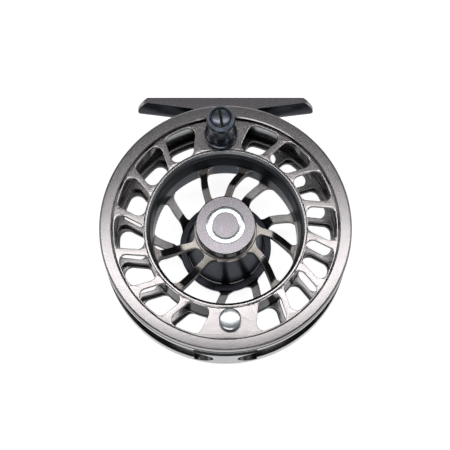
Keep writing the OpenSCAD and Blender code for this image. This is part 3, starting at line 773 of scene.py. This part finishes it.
def rear_arms():
    """The arms rise steeply from the hub to a knee, and run nearly level from there to the plate."""
    hub_r, sink = hub_high.x, 0.3
    knee_top, knee_underside = (18.2, 14), (18.8, 11.4)
    top = [(hub_r + 0.3, hub_high.z - 0.1), knee_top, (PLATE_BAND_R, PLATE_Z[1])]
    bottom = [(hub_r, hub_low.z + 0.6), knee_underside, (PLATE_BAND_R, PLATE_Z[0])]
    piece = arm_set("rear_arms", PLATE_ARM_PAIR_HALF_ANGLE, PLATE_ARM_SWIRL, PLATE_ARM_TURN, PLATE_ARM_W,
                    (hub_r, PLATE_BAND_R), top, bottom, sink)
    finish_piece(piece, [rear_arm_top, edge_soft_painted_highlight, arm_sides_painted_shade], "frame", ["frame_rear_arms"])


def housing():
    """A hollow cone with a brim, and a small step in its bore for the seal."""
    top_z, brim_z = housing_high.z, housing_low.z
    brim_r, brim_top_z = housing_high.x, brim_z + 1
    bore_r, seat_r, seat_z = 7.6, 8.5, top_z - 1.1
    shoulder_r, skirt_r, neck_r = 10.4, 13.6, 14
    inner_r, inner_top_r, inner_top_z = 12.4, 9.6, top_z - 2.6
    mouth_r, mouth_z = 10.2, brim_z + 1.6
    corners = [
        (bore_r, seat_z, 0.1, 0), (bore_r, top_z, 0.15, 0), (shoulder_r, top_z, 0.5, 0),
        (skirt_r, brim_z + 1.9, 0.1, 1), (neck_r - 0.1, brim_z + 1.5, 0.1, 2), (neck_r, brim_top_z, 0.15, 2),
        (brim_r, brim_top_z, 0.3, 2), (brim_r, brim_z, 0.1, 0), (mouth_r, brim_z, 0.1, 0),
        (mouth_r, mouth_z, 0.1, 0), (inner_r, mouth_z, 0.1, 0), (inner_top_r, inner_top_z, 0.1, 0),
        (seat_r, inner_top_z, 0.1, 0), (seat_r, seat_z, 0.1, 0),
    ]
    piece = turned("housing_shell", corners)
    # The small step from skirt to neck carries painted shade.
    finish_piece(piece, [housing_black, wall_painted_shade, brim_black], "frame", ["drag_housing"])


# ---- Spool ----

def flanges():
    hole_r, into_arbor = 2.5, 0.02
    inner_r = ARBOR_R - into_arbor
    holes = [(HANDLE_AT, hole_r), (WEIGHT_AT, hole_r)]
    piece = windowed_plate("front_flange", inner_r, FLANGE_R, FLANGE_Z, FRONT_WINDOWS, holes)
    finish_piece(piece, [spool_metal, edge_painted_highlight, wall_painted_shade], "spool",
                 ["spool_front_flange"])
    piece = windowed_plate("rear_flange", inner_r, FLANGE_R, REAR_FLANGE_Z, REAR_WINDOWS)
    finish_piece(piece, [rear_metal_painted_shade, rear_edge_painted_shade, wall_painted_shade], "spool",
                 ["spool_rear_flange"])


def arbor():
    """The spool's wide tube, with a chamfered lip in front that carries a painted highlight, and a step
    inside for the arms. Its inside is painted in darker bands as shade, and its outside nearly black as
    shade.
    """
    rear_z, chamfer = REAR_FLANGE_Z[0], 0.3
    corners = [
        (ARBOR_R, rear_z, 0.1, 3), (ARBOR_R, LIP_Z - chamfer, 0.05, 1), (ARBOR_R - chamfer, LIP_Z, 0.1, 0),
        (ARBOR_FRONT_R + 0.85, LIP_Z, 0.2, 6), (ARBOR_FRONT_R + 0.05, LIP_Z - 0.7, 0.15, 5),
        (ARBOR_FRONT_R, LIP_Z - 3.2, 0.2, 5), (ARBOR_FRONT_R - 0.35, LIP_Z - 3.6, 0.2, 2),
        (ARBOR_REAR_R + 0.15, ARBOR_STEP_Z, 0.4, 4), (ARBOR_REAR_R, rear_z, 0.2, 2),
    ]
    piece = turned("arbor_wall", corners)
    materials = [spool_metal, edge_painted_highlight, arbor_gloss, arbor_outside_painted_shade, arbor_rear_painted_shade, arbor_front_painted_shade, frame_side]
    finish_piece(piece, materials, "spool", ["spool_arbor"])


def spool_arms():
    """The arms leave the collar nearly level, drop from a shoulder, and level out at an ankle."""
    sink = 0.2
    shoulder_top, shoulder_underside = (16.4, 33.9), (16, 30.6)
    ankle_top, ankle_underside = (22.8, ARBOR_STEP_Z), (22.5, 21.6)
    top = [(COLLAR_R, collar_high.z - 0.4), shoulder_top, ankle_top, (ARBOR_REAR_R, ARBOR_STEP_Z - 0.3)]
    bottom = [(COLLAR_R, collar_high.z - 3.4), shoulder_underside, ankle_underside,
              (ARBOR_REAR_R, REAR_FLANGE_Z[0] + 1)]
    piece = arm_set("swirl_arms", ARM_PAIR_HALF_ANGLE, ARM_SWIRL, ARM_TURN - SPOOL_TURN, ARM_W,
                    (COLLAR_R, ARBOR_REAR_R), top, bottom, sink)
    finish_piece(piece, [champagne, edge_painted_highlight, arm_sides_painted_shade], "spool", ["spool_arms"])


def collar():
    """A plain ring, where the arms meet."""
    z = (collar_low.z, collar_high.z)
    corners = [
        (COLLAR_BORE_R, z[0], 0.15, 0), (COLLAR_R, z[0], 0.3, 0), (COLLAR_R, z[1], 0.35, 0),
        (COLLAR_BORE_R, z[1], 0.1, 0),
    ]
    piece = turned("spool_collar_ring", corners)
    finish_piece(piece, [champagne], "spool", ["spool_collar"])


def cap():
    """A cup turned over, with a spigot in the collar and a polished ring raised on its face."""
    top_z, low_z, base_z = cap_high.z, cap_low.z, collar_high.z
    face_z, inside_z = top_z - 0.3, top_z - 2.4
    cap_r, bore_r = cap_high.x, 7.3
    corners = [
        (0, face_z, 0, 0), (cap_r, face_z, 0.35, 1), (cap_r, base_z, 0.15, 1),
        (COLLAR_BORE_R, base_z, 0.1, 1), (COLLAR_BORE_R, low_z, 0.1, 1), (bore_r, low_z, 0.1, 1),
        (bore_r, inside_z, 0.3, 1), (0, inside_z, 0, 1),
    ]
    piece = turned("cap_body", corners, closed=False)
    # The cap's rounded rim, side, underside and bore carry painted shade.
    finish_piece(piece, [cap_satin, wall_painted_shade], "spool", ["hub_cap"], sharp=30)
    ring_inner_r, ring_outer_r = 4.4, 6.6
    ring_low_z, ring_edge = face_z - 0.1, 0.16
    inlay = [
        (ring_inner_r, ring_low_z, 0, 0), (ring_inner_r, top_z, ring_edge, 0),
        (ring_outer_r, top_z, ring_edge, 0), (ring_outer_r, ring_low_z, 0, 0),
    ]
    piece = turned("cap_inlay_ring", inlay)
    finish_piece(piece, [ring_polished], "spool", ["hub_cap"])


def counterweight():
    """A short cylinder with a chamfer and a low crown."""
    low_z, high_z = weight_low.z, weight_high.z
    r = (weight_high.x - weight_low.x) / 2
    chamfer, crown_h = 0.3, 0.45
    edge_z = high_z - chamfer - crown_h
    crown_r, crown_z = r - chamfer, edge_z + chamfer
    corners = [(0, low_z, 0, 0), (r, low_z, 0.1, 0), (r, edge_z, 0.15, 0), (crown_r, crown_z, 0.1, 1)]
    corners += dome(crown_r, crown_z, crown_h, 0.7, 24)[1:]
    piece = turned("counterweight_dome", corners, WEIGHT_AT, closed=False, segments=SMALL_TURNED_STEPS)
    finish_piece(piece, [weight_polished, edge_painted_highlight], "spool", ["counterweight"])


# ---- Handle ----

def grip():
    """A waisted grip with a collar at its foot and a bead at its head, hollowed for the end screw."""
    base_z, top_z = grip_low.z, grip_high.z
    bore_r, recess_r = 2.9, 3.47
    foot_r, collar_r, waist_r, neck_r, bead_r = 5.3, 5.7, 4.2, 4.3, 4.85
    head_z = top_z - 4.15
    recess_z = head_z + 1.6
    corners = [
        (bore_r, base_z, 0.1, 0), (foot_r, base_z, 0.2, 0), (collar_r, base_z + 0.5, 0.2, 0),
        (collar_r, base_z + 1.8, 0.25, 0), (foot_r - 0.05, base_z + 2.25, 0.1, 0),
        (foot_r, base_z + 3.1, 0.25, 0), (4.75, base_z + 4.2, 1.2, 0), (waist_r + 0.05, base_z + 7.4, 3.0, 0),
        (waist_r, base_z + 9.6, 3.0, 0), (neck_r, head_z - 1.8, 1.0, 0), (4.6, head_z - 0.75, 0.25, 0),
        (neck_r, head_z - 0.35, 0.1, 0), (neck_r, head_z, 0.1, 0), (bead_r, head_z + 0.3, 0.2, 0),
        (bead_r, head_z + 1.8, 0.8, 0), (4.6, head_z + 3.1, 0.6, 0), (3.95, head_z + 4.1, 0.3, 0),
        (recess_r, top_z, 0.12, 0), (recess_r, recess_z, 0.1, 0), (bore_r, recess_z, 0.1, 0),
    ]
    piece = turned("grip", corners, HANDLE_AT, segments=SMALL_TURNED_STEPS * 2)
    finish_piece(piece, [handle_black], "handle", ["handle_grip"])


def cap_screw():
    """A screw with a domed head and one slot."""
    low_z, top_z = screw_low.z, screw_high.z
    head_r, shank_r = (screw_high.x - screw_low.x) / 2, 1.2
    head_z, dome_h = top_z - 2.6, 0.85
    slot_depth, slot_half_w, slot_turn = 0.9, 0.5, 7 + SPOOL_TURN
    past_head, above = 5, top_z + 2
    corners = [
        (0, low_z, 0, 0), (shank_r, low_z, 0.1, 0), (shank_r, head_z, 0.05, 0), (head_r, head_z, 0.1, 0),
    ]
    corners += dome(head_r, top_z - dome_h, dome_h, 0.8, 20)
    piece = turned("handle_end_screw", corners, HANDLE_AT, closed=False, segments=SMALL_TURNED_STEPS)
    cutter = block((-slot_half_w, -past_head, top_z - slot_depth), (slot_half_w, past_head, above), 1)
    cutter.rotation_euler.z = math.radians(slot_turn)
    cutter.location = Vector((HANDLE_AT[0], HANDLE_AT[1], 0)) * MM
    bpy.context.view_layer.update()
    # The slot's cut faces take the second material, painted shade.
    cut_out(piece, cutter)
    finish_piece(piece, [screw_black, slot_painted_shade], "spool", ["handle_cap_screw"], sharp=28)


# ---- Drag knob ----

def knob():
    """A cup with a scalloped rim and a hollow for the index mark."""
    knob_r, top_z = knob_high.x, knob_high.z
    cup_r, cup_z = 12.4, 1.6
    grooves, steps_per_groove, groove_depth = 24, 16, 0.6
    rim_r = knob_r - 2
    mark_at, mark_r, mark_depth = at(0, knob_r - 3.4), 0.9, 0.7
    below = -1

    def scallops(r, a):
        if r < rim_r:
            return r
        wave = 0.5 + 0.5 * math.cos(grooves * a)
        return r - groove_depth * wave ** 3

    corners = [
        (0, 0, 0, 0), (knob_r, 0, 1.1, 0), (knob_r, top_z, 0.7, 0), (cup_r, top_z, 0.2, 0),
        (cup_r, cup_z, 0.3, 0), (0, cup_z, 0, 0),
    ]
    piece = turned("grooved_knob", corners, closed=False, segments=grooves * steps_per_groove,
                   grooves=scallops)
    mark = [(0, below, 0, 0), (mark_r, below, 0, 0), (mark_r, mark_depth, 0, 0), (0, mark_depth, 0, 0)]
    cut_out(piece, turned("cutter", mark, mark_at, closed=False, segments=32))
    finish_piece(piece, [knob_metal], "drag_dial", ["drag_knob"])


# ---- CAD nodes that keep their own shape ----

def kept_nodes():
    """Each gets one material, on its own CAD mesh."""
    finishes = {
        "frame_hub": rear_metal_painted_shade, "reel_foot": foot_metal, "foot_screws": steel,
        "housing_screws": steel, "spindle": steel, "drag_cone": carbon, "roller_clutch": steel,
        "drag_springs": spring_steel, "drag_pusher": steel, "thrust_washer": acetal,
        "shaft_seal": rubber, "detent_spring": spring_steel, "detent_ball": weight_polished,
        "knob_insert": brass, "knob_index": index_white, "drive_hub": steel, "hub_bearings": steel,
        "hub_bush": acetal, "cap_seal": rubber, "flange_screws": steel, "handle_post": steel,
        "handle_washer": washer_black, "handle_bushes": brass,
    }
    for node, material in finishes.items():
        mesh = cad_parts[node].data
        mesh.materials.clear()
        mesh.materials.append(material)


def foot_edges():
    """The foot keeps its CAD mesh, and gets rounded edges with a painted highlight."""
    edge, sharp = 0.4, 24
    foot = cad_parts["reel_foot"]
    foot.data.materials.append(edge_painted_highlight)
    round_edges(foot, edge, segments=3, angle=sharp, material=1)


# ---- Stage, light and camera ----
# Lights and camera are in metres.

def floor():
    """A white floor that glows a little, so that it burns out as a lit studio floor does."""
    half, below, glow, cloud_mm = 2500, 0.05, 0.85, 40.0
    corners = [(-half, -half), (half, -half), (half, half), (-half, half)]
    bm = bmesh.new()
    bm.faces.new([bm.verts.new(Vector((x, y, -below)) * MM) for x, y in corners])
    piece = mesh_object("floor", bm)
    n = Nodes("floor_white")
    tone = n.mix(n.noise(cloud_mm, detail=3.0), rgb(0.80, 0.805, 0.81), rgb(0.86, 0.86, 0.86))
    piece.data.materials.append(n.finish(Base_Color=tone, Roughness=0.6, Emission_Color=rgb(1, 1, 1),
                                         Emission_Strength=glow))


def softbox(name, place, aim, size, power, colour=(1, 1, 1), turn=0):
    """A rectangular soft light. The turn is about its own axis, in degrees."""
    light = bpy.data.lights.new(name, "AREA")
    light.shape = "RECTANGLE"
    light.size, light.size_y = size
    light.energy = power
    light.color = colour
    holder = bpy.data.objects.new(name, light)
    holder.location = place
    holder.rotation_mode = "QUATERNION"
    spin = Quaternion((0, 0, 1), math.radians(turn))
    holder.rotation_quaternion = (Vector(aim) - Vector(place)).to_track_quat("-Z", "Y") @ spin
    holder.visible_camera = False
    bpy.context.scene.collection.objects.link(holder)


def lights():
    """A long narrow softbox overhead gives the bright band over the near half of every flat face. Three low
    ones light the side wall and the handle, and four high ones fill in from all round."""
    reel = (0, 0, 0.03)
    band_y, band_z = 0.067, 0.44
    softbox("band", (0, band_y, band_z), (0, band_y, 0), (0.60, 0.055), 0.5, (1.0, 0.99, 0.99), turn=2.5)
    low_z, low_size, low_colour = 0.16, (0.7, 0.2), (1.0, 0.985, 0.985)
    for name, place, power in (("front", (-0.15, -0.60), 0.9), ("left", (-0.60, 0.10), 0.08),
                               ("right", (0.60, 0.05), 0.08)):
        softbox(name, (*place, low_z), reel, low_size, power, low_colour)
    high_z, high_size, high_power = 0.5, (0.6, 0.36), 0.26
    for name, place in (("high_front", (0, -0.55)), ("high_back", (0, 0.62)), ("high_left", (-0.6, 0)),
                        ("high_right", (0.6, 0))):
        softbox(name, (*place, high_z), reel, high_size, high_power)


def surroundings():
    """A dim cool studio, which shows in the reflections."""
    world = bpy.data.worlds.new("studio")
    world.use_nodes = True
    backdrop = world.node_tree.nodes["Background"]
    backdrop.inputs["Color"].default_value = rgb(0.93, 0.96, 1.0)
    backdrop.inputs["Strength"].default_value = 0.13
    bpy.context.scene.world = world


def camera():
    """The camera looks down steeply at the middle of the frame's front face."""
    elevation, distance, view_half_angle, sensor_mm = 76, 0.556, 7.85, 36
    aim = Vector((-0.00017, 0.00034, FACE_Z * MM))
    e = math.radians(elevation)
    back = Vector((0, -math.cos(e), math.sin(e)))
    lens = bpy.data.cameras.new("camera")
    lens.sensor_width = sensor_mm
    lens.lens = sensor_mm / 2 / math.tan(math.radians(view_half_angle))
    lens.clip_start, lens.clip_end = 0.01, 20
    holder = bpy.data.objects.new("camera", lens)
    holder.location = aim + back * distance
    holder.rotation_mode = "QUATERNION"
    holder.rotation_quaternion = (-back).to_track_quat("-Z", "Y")
    bpy.context.scene.collection.objects.link(holder)
    bpy.context.scene.camera = holder
    bpy.context.scene.view_settings.view_transform = "Standard"


for build in (front_ring, rear_ring, rear_plate, side_walls, rear_arms, housing, flanges, arbor, spool_arms,
              collar, cap, counterweight, grip, cap_screw, knob, kept_nodes, foot_edges, floor, lights,
              surroundings, camera):
    build()

bpy.context.view_layer.update()
